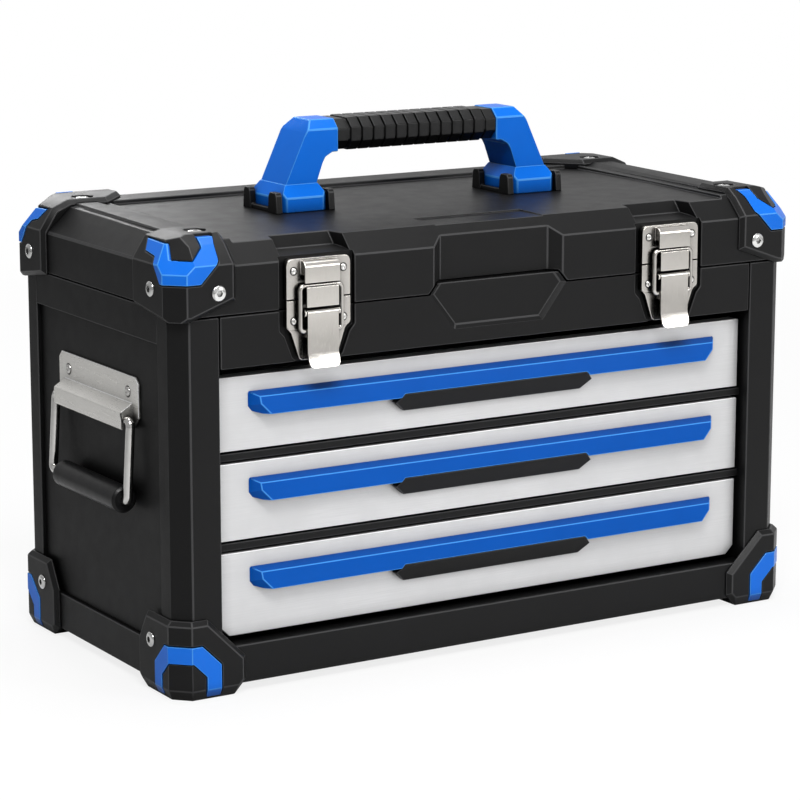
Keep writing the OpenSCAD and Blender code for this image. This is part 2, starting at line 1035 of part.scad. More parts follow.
module foot_guard_outside() {
    c = guard_chamfer;
    intersection() {
        foot_block(0);
        translate([guard_ox, guard_oy, 0])
            hull() {
                along_y(c, guard_d + cut)
                    polygon(foot_front);
                along_y(0, c)
                    polygon(grow(foot_front, -c));
            }
        translate([guard_ox, guard_oy, 0])
            hull() {
                along_x(c, guard_w + cut)
                    polygon(foot_side);
                along_x(0, c)
                    polygon(grow(foot_side, -c));
            }
    }
}

// Arch of coloured trim around a foot guard's corner: outlines on front and side
arch_out = [31, 29];
arch_in = [21, 19.6];
arch_top = 34.4;
arch_low = 23.8;
arch_slope = 13;
trim_reach = 7;

function foot_arch(out, inner) = [
    [-past, arch_low],
    [-past, arch_top],
    [out - arch_slope, arch_top],
    [out, arch_top - arch_slope],
    [out, -cut],
    [inner, -cut],
    [inner, arch_low - 9],
    [inner - 9, arch_low]
];

// Where the trim lies, grown by g
module foot_trim_zone(g) {
    translate([guard_ox, guard_oy, 0]) {
        along_y(-cut, trim_reach)
            polygon(grow(foot_arch(arch_out[0], arch_in[0]), g));
        along_x(-cut, trim_reach)
            polygon(grow(foot_arch(arch_out[1], arch_in[1]), g));
    }
}

module foot_guard() {
    difference() {
        foot_guard_outside();
        translate([0, 0, base_z0])
            linear_extrude(foot_guard_h)
                polygon(body_plan(0));
        difference() {
            foot_trim_zone(trim_gap);
            translate([0, 0, -cut])
                linear_extrude(foot_guard_h)
                    polygon(grow(foot_plan, -trim_in));
        }
    }
}

module foot_trim() {
    intersection() {
        difference() {
            foot_block(trim_out);
            translate([0, 0, -cut])
                linear_extrude(foot_guard_h + 2 * cut)
                    polygon(grow(foot_plan, -trim_in));
        }
        foot_trim_zone(0);
        box([guard_ox - 2, guard_oy - 2, 0.8], [0, 0, foot_guard_h]);
    }
}

module foot_guard_fl() {
    color("#1f1f1f")
        at_corner(-1, -1)
            foot_guard();
}

module foot_guard_fr() {
    color("#1f1f1f")
        at_corner(1, -1)
            foot_guard();
}

module foot_guard_bl() {
    color("#1f1f1f")
        at_corner(-1, 1)
            foot_guard();
}

module foot_guard_br() {
    color("#1f1f1f")
        at_corner(1, 1)
            foot_guard();
}

module foot_guard_trims() {
    color("#0a5ac8")
        for (c = CORNERS)
            at_corner(c[0], c[1])
                foot_trim();
}

// A low domed screw head that stands along +Z from the origin
module screw_head() {
    rotate_extrude()
        polygon([
            [0, 0],
            [screw_r, 0],
            [screw_r, screw_h * 0.4],
            [screw_r * 0.8, screw_h * 0.85],
            [screw_r * 0.45, screw_h],
            [0, screw_h]
        ]);
}

foot_screw_y = guard_oy + 34;
foot_screw_z = 33.5;

module foot_guard_screws() {
    color("silver")
        for (c = CORNERS)
            at_corner(c[0], c[1])
                translate([guard_ox, foot_screw_y, foot_screw_z])
                    rotate([0, -90, 0])
                        screw_head();
}

// Lid guards follow the lid's edges; sy is -1 for the front ones and 1 for the rear ones
guard_bevel = lid_slope - 1.2;

function guard_top(sy) = (sy < 0 ? rim_front_z : rim_z) + guard_top_t;
function guard_len(sy) = sy < 0 ? [lid_guard_w, guard_d] : [rear_guard_w, rear_guard_d];

// Section of a lid guard across its front and across its side
function front_section(sy) = concat(
    [[0, guard_z0]],
    sy < 0
        ? [
            [0, lid_edge_z + 2],
            [guard_bevel, lid_edge_z + 2 + guard_bevel],
            [lid_slope + 7.5, guard_top(sy)]
        ]
        : [
            [0, rim_z - rear_slope + 1.7],
            [guard_top_t + rear_slope - 1.7, guard_top(sy)]
        ],
    [[guard_d + past, guard_top(sy)], [guard_d + past, guard_z0]]
);

function side_section(sy) = [
    [0, guard_z0],
    [0, side_edge_z + 1.4],
    [lid_side_slope * 0.53, side_edge_z + 15.2],
    [lid_side_slope + 3, guard_top(sy)],
    [rear_guard_w + past, guard_top(sy)],
    [rear_guard_w + past, guard_z0]
];

// A lid guard without its chamfers, moved outwards by o
module lid_guard_block(o, sy) {
    size = guard_len(sy);
    intersection() {
        corner_face(o);
        translate([guard_ox, guard_oy, 0])
            along_x(-past, size[0] + past)
                polygon(grow(front_section(sy), o));
        translate([guard_ox, guard_oy, 0])
            along_y(-past, size[1] + past)
                polygon(grow(side_section(sy), o));
    }
}

// Ends of the slanted inner edge in a lid guard's plan, on its front leg and on its side leg
function inner_edge(sy) = let (size = guard_len(sy)) sy < 0
    ? [[size[0], size[1] - 4], [size[0] - 4, size[1]]]
    : [[size[0], size[1] - 24], [size[0] - 21, size[1]]];

// Plan of a lid guard, run on past everything but its slanted inner edge
function lid_guard_plan(sy) =
    let (
        edge = inner_edge(sy),
        more = 1.2 * (edge[0] - edge[1])
    )
    [
        [-past, -past],
        [-past, edge[1][1] - more[1]],
        edge[1] - more,
        edge[0] + more,
        [edge[0][0] + more[0], -past]
    ];

// Outline of a leg's lower edge, which rises from start to its end at len
function low_edge(start, len, rise) = [
    [-past, guard_z0],
    [-past, guard_z0 + past * 5],
    [len + past, guard_z0 + past * 5],
    [len + past, guard_z0 + rise * (len + past - start) / (len - start)],
    [start, guard_z0]
];

low_front = [14, 11];
low_side = [12, 5.5];

module lid_guard_outside(sy) {
    c = guard_chamfer;
    size = guard_len(sy);
    top = guard_top(sy);
    plan = lid_guard_plan(sy);
    front = front_section(sy);
    side = side_section(sy);
    front_low = low_edge(low_front[0], size[0], low_front[1]);
    side_low = low_edge(low_side[0], size[1], low_side[1]);
    intersection() {
        corner_face(0);
        translate([guard_ox, guard_oy, 0])
            intersection() {
                hull() {
                    translate([0, 0, guard_z0 - cut])
                        linear_extrude(top - c - guard_z0 + cut)
                            polygon(plan);
                    translate([0, 0, top])
                        linear_extrude(cut)
                            polygon(grow(plan, -c));
                }
                hull() {
                    along_x(-past, size[0] - c)
                        polygon(front);
                    along_x(-past, size[0])
                        polygon(grow(front, -c));
                }
                hull() {
                    along_y(-past, size[1] - c)
                        polygon(side);
                    along_y(-past, size[1])
                        polygon(grow(side, -c));
                }
                hull() {
                    along_y(c, size[1] + past)
                        polygon(front_low);
                    along_y(0, size[1] + past)
                        polygon(grow(front_low, -c));
                }
                hull() {
                    along_x(c, size[0] + past)
                        polygon(side_low);
                    along_x(0, size[0] + past)
                        polygon(grow(side_low, -c));
                }
            }
    }
}

// Where the trim lies on a lid guard, grown by g; its strip on the front runs up to top
strip_reach = [20.7, 11.5];
trim_side_reach = 10;

module lid_trim_zone(g, sy, top) {
    end = guard_len(sy)[1] - 8.7;
    front = [
        [2.5, 22.6],
        [2.5, 36.3],
        [16.6, 36.3],
        [25.6, 43],
        [26.2, 46],
        [26.2 + (top - 46) * 0.08, top],
        [34.5 + (top - 44.7) * 0.57, top],
        [34.5, 44.7],
        [33, 35.8],
        [20.3, 22.6]
    ];
    side = [
        [-1, 22.6],
        [-1, 36.5],
        [13.3, 36.5],
        [20.8, 45.5],
        [end, 46.1],
        [end - 5, 39.7],
        [25.3, 38.1],
        [14.3, 22.6]
    ];
    translate([guard_ox, guard_oy, guard_z0]) {
        along_y(-cut, (sy < 0 ? strip_reach[0] : strip_reach[1]) + g)
            polygon(grow(front, g));
        along_x(-cut, trim_side_reach + g)
            polygon(grow(side, g));
    }
}

strip_top = [48.4, 53];
top_screw = [34.5, 34.5, 0];
top_screw_sink = 1.8;
pocket_r = screw_r + 3;

module lid_guard(sy) {
    difference() {
        lid_guard_outside(sy);
        at_corner(-1, sy)
            lid_outside();
        linear_extrude(lid_side_z0 + 0.01)
            polygon(body_plan(seam));
        difference() {
            lid_trim_zone(trim_gap, sy, strip_top[1] + past);
            lid_guard_block(-trim_in, sy);
        }
        translate([guard_ox, guard_oy, guard_top(sy) - top_screw_sink])
            translate(top_screw)
                cylinder(h = guard_top_t, r = pocket_r, $fn = 6);
    }
}

module lid_trim(sy) {
    intersection() {
        difference() {
            lid_guard_block(trim_out, sy);
            lid_guard_block(-trim_in, sy);
        }
        lid_trim_zone(0, sy, sy < 0 ? strip_top[0] : strip_top[1]);
    }
}

module lid_guard_fl() {
    color("#1f1f1f")
        at_corner(-1, -1)
            lid_guard(-1);
}

module lid_guard_fr() {
    color("#1f1f1f")
        at_corner(1, -1)
            lid_guard(-1);
}

module lid_guard_bl() {
    color("#1f1f1f")
        at_corner(-1, 1)
            lid_guard(1);
}

module lid_guard_br() {
    color("#1f1f1f")
        at_corner(1, 1)
            lid_guard(1);
}

module lid_guard_trims() {
    color("#0a5ac8")
        for (c = CORNERS)
            at_corner(c[0], c[1])
                lid_trim(c[1]);
}

side_screw = [26.5, 18.4];
front_screw = [32, 16.6];

module lid_guard_screws() {
    color("silver")
        for (c = CORNERS)
            at_corner(c[0], c[1]) {
                translate([guard_ox, guard_oy + side_screw[0], guard_z0 + side_screw[1]])
                    rotate([0, -90, 0])
                        screw_head();
                translate([guard_ox + front_screw[0], guard_oy, guard_z0 + front_screw[1]])
                    rotate([90, 0, 0])
                        screw_head();
                translate([guard_ox, guard_oy, guard_top(c[1]) - top_screw_sink])
                    translate(top_screw)
                        screw_head();
            }
}

// ---------------------------------------------------------------- carry handle

foot_w = 34;
foot_d = 43;
foot_face_h = 9.3;
foot_shoulder_z = 17.4;
foot_shoulder_in = 5;
foot_corner = 3.5;

// Outline of the left arm in X and Z above the crown, mirrored from the right side
module arm_outline() {
    top = handle_h;
    under = handle_h - grip_h;
    mid = handle_span / 2;
    polygon([
        [-mid - 11.3, foot_shoulder_z - cut],
        [-mid - 11.3, foot_shoulder_z],
        [-mid + 3.6, top - 8],
        [-mid + 9.6, top],
        [-grip_l / 2, top],
        [-grip_l / 2, under],
        [-grip_l / 2 - 4, under],
        [-grip_l / 2 - 9.5, under - 3],
        [-grip_l / 2 - 12, under - 7.5],
        [-mid + 11.3, foot_shoulder_z],
        [-mid + 11.3, foot_shoulder_z - cut]
    ]);
}

// Eight-sided section of the arms and the grip in Y and Z
section_chamfer = 6;

module handle_section(d, top, low) {
    polygon(both_sides([
        [d / 2 - section_chamfer, top],
        [d / 2, top - section_chamfer],
        [d / 2, low]
    ]));
}

module handle_foot() {
    intersection() {
        linear_extrude(foot_shoulder_z)
            polygon(both_sides([
                [foot_w / 2 - foot_corner, -foot_d / 2],
                [foot_w / 2, -foot_d / 2 + foot_corner],
                [foot_w / 2, foot_d / 2 - foot_corner],
                [foot_w / 2 - foot_corner, foot_d / 2]
            ]));
        along_x(-foot_w, foot_w)
            polygon(both_sides([
                [foot_d / 2, 0],
                [foot_d / 2, foot_face_h],
                [foot_d / 2 - foot_shoulder_in, foot_shoulder_z]
            ]));
        along_y(-foot_d, foot_d)
            polygon(both_sides([
                [foot_w / 2, 0],
                [foot_w / 2, foot_face_h],
                [foot_w / 2 - foot_shoulder_in, foot_shoulder_z]
            ]));
    }
}

module handle_arm() {
    translate([0, handle_back, crown_z]) {
        translate([-handle_span / 2, 0, 0])
            handle_foot();
        intersection() {
            along_y(-arm_d / 2, arm_d / 2)
                arm_outline();
            along_x(-handle_span, 0)
                handle_section(arm_d, handle_h, 0);
        }
    }
}

module handle_arm_left() {
    color("#0a5ac8")
        handle_arm();
}

module handle_arm_right() {
    color("#0a5ac8")
        on_side(1)
            handle_arm();
}

// The grip: an eight-sided bar with rounded ribs pressed between the two arms
rib_count = 12;
rib_gap = 1.2;
collar_l = 9;

module grip_section(d) {
    c = section_chamfer;
    polygon(both_sides([
        [arm_d / 2 - d - c, handle_h - d],
        [arm_d / 2 - d, handle_h - d - c],
        [arm_d / 2 - d, handle_h - grip_h + d + c],
        [arm_d / 2 - d - c, handle_h - grip_h + d]
    ]));
}

module handle_grip() {
    half = grip_l / 2;
    pitch = (grip_l - 2 * collar_l) / rib_count;
    color("#1a1a1a")
        translate([0, handle_back, crown_z]) {
            along_x(-half, half)
                grip_section(1.4);
            along_x(-half, -half + collar_l - rib_gap)
                grip_section(0.6);
            along_x(half - collar_l + rib_gap, half)
                grip_section(0.6);
            for (i = [0 : rib_count - 1])
                translate([-half + collar_l + i * pitch, 0, 0])
                    along_x(rib_gap / 2, pitch - rib_gap / 2)
                        grip_section(0);
        }
}

// Sockets with four lugs around each foot of the handle
front_lug = 12;
rear_lug = 10;
strip_h = 3;

module lug_section(len, lean) {
    polygon([
        [0, 0],
        [len, 0],
        [len - lean, lug_h - 2],
        [len - lean - 1.5, lug_h],
        [lean + 1.5, lug_h],
        [lean, lug_h - 2]
    ]);
}

module handle_bracket() {
    out = foot_w / 2;
    for (s = [-1, 1])
        on_side(s) {
            translate([0, -foot_d / 2 - 1, 0])
                along_x(-out - lug_t, -out)
                    lug_section(front_lug, 1);
            translate([0, foot_d / 2 + 1 - rear_lug, 0])
                along_x(-out - lug_t, -out)
                    lug_section(rear_lug, 1);
            box([-out - lug_t + 1, -foot_d / 2, 0], [-out, foot_d / 2, strip_h]);
        }
}

module handle_brackets() {
    color("#1f1f1f")
        for (s = [-1, 1])
            translate([s * handle_span / 2, handle_back, crown_z])
                handle_bracket();
}

// ---------------------------------------------------------------- side handles

plate_x = sheet_x + plate_t;
plate_z1 = base_z1 + plate_z;
plate_z0 = plate_z1 - plate_h;
channel_x = plate_x + channel_out;
bail_z = plate_z0 + channel_h / 2;
bail_x = plate_x + channel_out / 2;
leg_y = channel_l / 2 + bail_r + 2.6;
// Lean of the hanging bail, so that its grip just clears the panel
lean = asin((sheet_x + bail_grip_r + grip_gap - bail_x) / bail_drop);

module side_handle_plate() {
    corner = 4;
    plate_cut = 8;
    channel_rise = 4.6;
    round_r = 1.4;
    color("#cfcfcf")
        difference() {
            union() {
                along_x(-plate_x, -sheet_x)
                    polygon(both_sides([
                        [channel_l / 2, plate_z0],
                        [plate_l / 2, plate_z0 + plate_cut],
                        [plate_l / 2, plate_z1 - corner],
                        [plate_l / 2 - corner, plate_z1]
                    ]));
                along_y(-channel_l / 2, channel_l / 2)
                    polygon(concat(
                        [[-plate_x + 0.2, plate_z0]],
                        arc(-channel_x + round_r, plate_z0 + round_r, round_r, 270, 180),
                        arc(-channel_x + round_r, plate_z0 + channel_h - round_r, round_r, 180, 120),
                        [[-plate_x + 0.2, plate_z0 + channel_h + channel_rise]]
                    ));
            }
            rod_y(-channel_l / 2 - cut, channel_l / 2 + cut, -bail_x, bail_z, bail_r + pin_fit);
        }
}

module side_handle_plate_left() {
    side_handle_plate();
}

module side_handle_plate_right() {
    on_side(1)
        side_handle_plate();
}

// A quarter bend of the bail's wire, from +Y round to -Z
bend_r = 3.3;

module bail_bend() {
    rotate([90, 0, 90])
        rotate_extrude(angle = 90)
            translate([bend_r, 0])
                circle(bail_r);
}

// The wire in its hanging plane, with the axle at the origin
module bail_wire() {
    rod_y(-leg_y + bend_r, leg_y - bend_r, 0, 0, bail_r);
    rod_y(-leg_y + bend_r, leg_y - bend_r, 0, -bail_drop, bail_r);
    for (s = [0, 1])
        mirror([0, s, 0]) {
            translate([0, leg_y - bend_r, -bend_r])
                bail_bend();
            translate([0, leg_y - bend_r, -bail_drop + bend_r])
                mirror([0, 0, 1])
                    bail_bend();
            translate([0, leg_y, -bail_drop + bend_r])
                cylinder(h = bail_drop - 2 * bend_r, r = bail_r);
        }
}

module side_bail() {
    translate([-bail_x, 0, bail_z])
        rotate([0, lean, 0])
            bail_wire();
}

// The grip has slid along the wire to the front leg
module side_grip() {
    half = bail_grip_l / 2;
    edge = 1.5;
    translate([-bail_x, 0, bail_z])
        rotate([0, lean, 0])
            translate([0, half + bend_r + 0.3 - leg_y, -bail_drop])
                difference() {
                    rotate([90, 0, 0])
                        rotate_extrude()
                            polygon([
                                [0, -half],
                                [bail_grip_r - edge, -half],
                                [bail_grip_r, -half + edge],
                                [bail_grip_r, half - edge],
                                [bail_grip_r - edge, half],
                                [0, half]
                            ]);
                    rod_y(-half - cut, half + cut, 0, 0, bail_r + pin_fit);
                }
}

module side_bail_left() {
    color("silver")
        side_bail();
}

module side_bail_right() {
    color("silver")
        on_side(1)
            side_bail();
}

module side_grip_left() {
    color("#161616")
        side_grip();
}

module side_grip_right() {
    color("#161616")
        on_side(1)
            side_grip();
}

// ---------------------------------------------------------------- latches

latch_face = front_y - latch_out;
hood_face = latch_face - hood_out;
hood_z0 = keeper_z1 - 1.3 - hood_h;
pivot_y = latch_face - barrel_r - run_gap;
lever_face = pivot_y - barrel_r;
lever_t = 1.3;
pivot_z = hood_z0 - 16 - barrel_r;
loop_z0 = pivot_z - lever_arm;
loop_y = lever_face + lever_t + 0.1 + loop_r;
loop_z1 = hood_z0 - 0.35 - loop_r;
ear_t = 1.3;
loop_x = lever_w / 2 + run_gap + ear_t + run_gap + loop_r;
sheet = 1.3;

base_step = 0.7;
base_plate_r = 3;
base_plate_z = latch_top_z - 17.8;

module latch_base() {
    ear_x = lever_w / 2 + run_gap;
    difference() {
        union() {
            difference() {
                along_y(latch_face, front_y + latch_field_depth)
                    polygon(both_sides(latch_outline(0)));
                along_y(latch_face + sheet + base_step, front_y + latch_field_depth + cut)
                    polygon(both_sides(latch_outline(-1.4)));
                along_y(latch_face - cut, latch_face + base_step)
                    polygon(both_sides(concat(
                        [
                            [latch_w / 2 + cut, latch_low_z - cut],
                            [latch_w / 2 + cut, base_plate_z + base_plate_r]
                        ],
                        arc(latch_w / 2 - base_plate_r, base_plate_z + base_plate_r, base_plate_r, 0, -90)
                    )));
                box(
                    [-latch_w, front_y + latch_field_depth - seam, lid_z0 - seam],
                    [latch_w, front_y + latch_field_depth + cut, latch_top_z + cut]
                );
            }
            for (s = [0, 1])
                mirror([s, 0, 0])
                    along_x(ear_x, ear_x + ear_t)
                        union() {
                            translate([pivot_y, pivot_z])
                                circle(barrel_r - 0.2);
                            translate([pivot_y, pivot_z - barrel_r + 0.2])
                                square([latch_face + sheet - pivot_y, 2 * barrel_r - 0.4]);
                        }
        }
        rod_x(-latch_w, latch_w, pivot_y, pivot_z, pivot_r + pin_fit);
    }
}

module latch_bases() {
    color("#cfcfcf")
        for (s = [-1, 1])
            translate([s * latch_x, 0, 0])
                latch_base();
}

module latch_keeper() {
    r = 4;
    edge = 1.4;
    hood_r = min(hood_out, hood_h) * 0.8;
    difference() {
        along_y(latch_face, front_y + lid_field_depth)
            polygon(both_sides(concat(
                [[latch_w / 2, keeper_z0]],
                arc(latch_w / 2 - r, keeper_z1 - r, r, 0, 90)
            )));
        along_y(latch_face + sheet, front_y + lid_field_depth + cut)
            polygon(both_sides(concat(
                [[latch_w / 2 - edge, keeper_z0 + edge]],
                arc(latch_w / 2 - r, keeper_z1 - r, r - edge, 0, 90)
            )));
    }
    along_x(-hood_w / 2, hood_w / 2)
        polygon(concat(
            [[hood_face, hood_z0]],
            arc(hood_face + hood_r, hood_z0 + hood_h - hood_r, hood_r, 180, 110),
            [
                [latch_face, hood_z0 + hood_h],
                [latch_face, hood_z0 + 5],
                [hood_face + sheet, hood_z0 + 5],
                [hood_face + sheet, hood_z0]
            ]
        ));
}

module latch_keepers() {
    color("#cfcfcf")
        for (s = [-1, 1])
            translate([s * latch_x, 0, 0])
                latch_keeper();
}

// The lever: a face plate on a barrel, a lipped tip and two cheeks for the loop
tip_h = 9.6;
tip_out = 3;
tip_r = 3.5;

module latch_lever() {
    half = lever_w / 2;
    cheek = 1.3;
    difference() {
        union() {
            rod_x(-half, half, pivot_y, pivot_z, barrel_r);
            intersection() {
                along_x(-half, half)
                    polygon([
                        [lever_face, pivot_z],
                        [lever_face, pivot_z - lever_h],
                        [lever_face - tip_out, pivot_z - lever_h - tip_h],
                        [lever_face - tip_out + lever_t, pivot_z - lever_h - tip_h],
                        [lever_face + lever_t, pivot_z - lever_h],
                        [lever_face + lever_t, pivot_z]
                    ]);
                along_y(lever_face - 2 * tip_out, latch_face)
                    polygon(both_sides(concat(
                        [[half, pivot_z]],
                        arc(half - tip_r, pivot_z - lever_h - tip_h + tip_r, tip_r, 0, -90)
                    )));
            }
            for (s = [0, 1])
                mirror([s, 0, 0])
                    box(
                        [half - cheek, lever_face + 0.2, loop_z0 - 4],
                        [half, latch_face - run_gap, pivot_z]
                    );
            rod_x(-half - run_gap - ear_t, half + run_gap + ear_t, pivot_y, pivot_z, pivot_r);
        }
        for (s = [0, 1])
            mirror([s, 0, 0])
                rod_x(half - cheek - cut, half + cut, loop_y, loop_z0, loop_r + pin_fit);
    }
}

module latch_lever_left() {
    color("#d4d4d4")
        translate([-latch_x, 0, 0])
            latch_lever();
}

module latch_lever_right() {
    color("#d4d4d4")
        translate([latch_x, 0, 0])
            latch_lever();
}

// The loop: a wire frame that hangs on the lever's cheeks, with a plate behind the hood
loop_bend = 3;
loop_plate_h = 12.4;

module loop_bend_at(x, z, turn) {
    translate([x, loop_y, z])
        rotate([90, 0, 0])
            rotate([0, 0, turn])
                rotate_extrude(angle = 90)
                    translate([loop_bend, 0])
                        circle(loop_r);
}

module latch_loop() {
    stub = lever_w / 2 - 2;
    half = lever_w / 2 + 0.4;
    plate_top = hood_z0 - 2.4;
    for (s = [0, 1])
        mirror([s, 0, 0]) {
            translate([loop_x, loop_y, loop_z0 + loop_bend])
                cylinder(h = loop_z1 - loop_z0 - 2 * loop_bend, r = loop_r);
            loop_bend_at(loop_x - loop_bend, loop_z1 - loop_bend, 0);
            loop_bend_at(loop_x - loop_bend, loop_z0 + loop_bend, -90);
            rod_x(stub, loop_x - loop_bend, loop_y, loop_z0, loop_r);
        }
    rod_x(-loop_x + loop_bend, loop_x - loop_bend, loop_y, loop_z1, loop_r);
    box([-half, lever_face, plate_top - loop_plate_h], [half, lever_face + lever_t, plate_top]);
    box([-half, lever_face, plate_top - cut], [half, loop_y, plate_top]);
}

module latch_loop_left() {
    color("#d4d4d4")
        translate([-latch_x, 0, 0])
            latch_loop();
}

module latch_loop_right() {
    color("#d4d4d4")
        translate([latch_x, 0, 0])
            latch_loop();
}

// A domed rivet head of radius r
module rivet(r) {
    rotate_extrude()
        polygon([
            [0, 0],
            [r, 0],
            [r * 0.85, rivet_h * 0.6],
            [r * 0.5, rivet_h],
            [0, rivet_h]
        ]);
}

latch_rivet_x = latch_w / 2 - 5;

module latch_rivets(z) {
    for (s = [-1, 1])
        for (t = [-1, 1])
            translate([s * latch_x + t * latch_rivet_x, latch_face, z])
                rotate([90, 0, 0])
                    rivet(rivet_r);
}

module lid_rivets() {
    color("#c4c4c4")
        latch_rivets(keeper_z1 - 7.4);
}

module case_rivets() {
    color("#c4c4c4") {
        latch_rivets(latch_top_z - 12.6);
        for (s = [-1, 1])
            on_side(s)
                for (t = [-1, 1])
                    translate([-plate_x, t * 42.2, plate_z1 - 10.4])
                        rotate([0, -90, 0])
                            rivet(plate_rivet_r);
    }
}

// ---------------------------------------------------------------- lid hinges

hinge_y = back_y + guard_t - 0.4;
hinge_z = guard_z0 - 0.7;
knuckle_l = hinge_l / 3;

// One leaf of a hinge in Y and Z: a plate from the pin to its far end
module case_leaf() {
    y0 = back_in + panel_t;
    difference() {
        union() {
            box(
                [-hinge_l / 2, y0, hinge_z - leaf_l],
                [hinge_l / 2, y0 + leaf_t, hinge_z - knuckle_r - run_gap]
            );
            for (s = [0, 1])
                mirror([s, 0, 0]) {
                    box([knuckle_l / 2 + run_gap, y0, hinge_z - leaf_l], [hinge_l / 2, y0 + leaf_t, hinge_z]);
                    rod_x(knuckle_l / 2 + run_gap, hinge_l / 2, hinge_y, hinge_z, knuckle_r);
                }
        }
        rod_x(-hinge_l, hinge_l, hinge_y, hinge_z, hinge_pin_r + pin_fit);
    }
}

module lid_leaf() {
    difference() {
        union() {
            box(
                [-hinge_l / 2, back_y, hinge_z + knuckle_r + run_gap],
                [hinge_l / 2, back_y + leaf_t, hinge_z + leaf_l]
            );
            box([-knuckle_l / 2, back_y, hinge_z], [knuckle_l / 2, back_y + leaf_t, hinge_z + leaf_l]);
            rod_x(-knuckle_l / 2, knuckle_l / 2, hinge_y, hinge_z, knuckle_r);
        }
        rod_x(-hinge_l, hinge_l, hinge_y, hinge_z, hinge_pin_r + pin_fit);
    }
}

module hinge_case_leaves() {
    color("#3a3a3a")
        for (s = [-1, 1])
            translate([s * hinge_x, 0, 0])
                case_leaf();
}

module hinge_lid_leaves() {
    color("#3a3a3a")
        for (s = [-1, 1])
            translate([s * hinge_x, 0, 0])
                lid_leaf();
}

module hinge_pins() {
    color("silver")
        for (s = [-1, 1])
            rod_x(s * hinge_x - hinge_l / 2, s * hinge_x + hinge_l / 2, hinge_y, hinge_z, hinge_pin_r);
}

side_panel_left();
side_panel_right();
back_panel();
bottom_panel();
corner_posts();
base_frame();
upper_front_panel();
compartment_floor();
drawer_crossbars();
case_runners();
foot_guard_fl();
foot_guard_fr();
foot_guard_bl();
foot_guard_br();
foot_guard_trims();
foot_guard_screws();
latch_bases();
side_handle_plate_left();
side_handle_plate_right();
case_rivets();
hinge_case_leaves();
hinge_pins();
lid_shell();
lid_guard_fl();
lid_guard_fr();
lid_guard_bl();
lid_guard_br();
lid_guard_trims();
lid_guard_screws();
latch_keepers();
lid_rivets();
handle_brackets();
hinge_lid_leaves();
handle_arm_left();
handle_arm_right();
handle_grip();
side_bail_left();
side_bail_right();
side_grip_left();
side_grip_right();
latch_lever_left();
latch_lever_right();
latch_loop_left();
latch_loop_right();
drawer_1_tray();
drawer_1_front();
drawer_1_pull();
drawer_1_insert();
drawer_1_rails();
drawer_2_tray();
drawer_2_front();
drawer_2_pull();
drawer_2_insert();
drawer_2_rails();
drawer_3_tray();
drawer_3_front();
drawer_3_pull();
drawer_3_insert();
drawer_3_rails();
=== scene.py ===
import json
import math

import bmesh
import bpy
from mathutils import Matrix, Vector


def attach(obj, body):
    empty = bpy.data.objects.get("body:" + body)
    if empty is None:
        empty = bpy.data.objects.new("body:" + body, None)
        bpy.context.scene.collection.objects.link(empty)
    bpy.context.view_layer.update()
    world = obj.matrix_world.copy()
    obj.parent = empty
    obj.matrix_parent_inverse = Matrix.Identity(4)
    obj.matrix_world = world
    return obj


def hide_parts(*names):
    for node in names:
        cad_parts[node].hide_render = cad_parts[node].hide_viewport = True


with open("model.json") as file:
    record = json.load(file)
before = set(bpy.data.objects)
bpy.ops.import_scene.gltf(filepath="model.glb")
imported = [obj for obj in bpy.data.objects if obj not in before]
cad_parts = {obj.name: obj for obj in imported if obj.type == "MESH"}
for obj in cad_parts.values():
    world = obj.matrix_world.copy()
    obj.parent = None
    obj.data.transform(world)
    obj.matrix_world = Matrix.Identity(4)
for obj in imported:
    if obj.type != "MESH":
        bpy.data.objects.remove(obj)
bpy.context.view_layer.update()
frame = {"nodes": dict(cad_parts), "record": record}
NODES = frame["nodes"]
SLOTS = {p["node"]: p["material_slot"] for p in frame["record"]["subparts"]}
BODY = {
    node: body
    for body, members in frame["record"]["behaviour"]["bodies"].items()
    for node in members
}


# ------------------------------------------------------------------ shader nodes

# Face attribute: 1 on rounded edges, painted paler as highlights, and on a rivet's flat ring,
# painted dark as shade; 0 elsewhere
EDGE_MARK = "rounded_edge"
# What an occlusion node gives in a corner and on an open face
CORNER_TO_OPEN = (0.4, 0.95)
OCCLUSION_SAMPLES = 6
# Noise mostly lies between these values
NOISE_RANGE = (0.3, 0.7)
# A colour Mix node's sockets
MIX_FIRST, MIX_SECOND, MIX_RESULT = 6, 7, 2


def start_material(name):
    """A new node material with its Principled shader and object coordinates."""
    material = bpy.data.materials.new(name)
    material.use_nodes = True
    tree = material.node_tree
    shader = tree.nodes["Principled BSDF"]
    place = tree.nodes.new("ShaderNodeTexCoord").outputs["Object"]
    return material, tree, shader, place


def stretched(tree, place, scale):
    """Coordinates multiplied by a scale along each axis."""
    mapping = tree.nodes.new("ShaderNodeMapping")
    mapping.inputs["Scale"].default_value = scale
    tree.links.new(place, mapping.inputs["Vector"])
    return mapping.outputs["Vector"]


def noise(tree, place, size, detail=3.0, rough=0.55):
    """Noise whose features are about size metres, the same or different along each axis."""
    sizes = size if isinstance(size, tuple) else (size, size, size)
    texture = tree.nodes.new("ShaderNodeTexNoise")
    texture.inputs["Scale"].default_value = 1.0
    texture.inputs["Detail"].default_value = detail
    texture.inputs["Roughness"].default_value = rough
    scaled = stretched(tree, place, tuple(1.0 / s for s in sizes))
    tree.links.new(scaled, texture.inputs["Vector"])
    return texture.outputs["Fac"]


def spread(tree, value, low, high, start=NOISE_RANGE[0], end=NOISE_RANGE[1]):
    """Maps a value from the range start to end to the range low to high."""
    node = tree.nodes.new("ShaderNodeMapRange")
    ranges = {"From Min": start, "From Max": end, "To Min": low, "To Max": high}
    for key, number in ranges.items():
        node.inputs[key].default_value = number
    tree.links.new(value, node.inputs["Value"])
    return node.outputs["Result"]


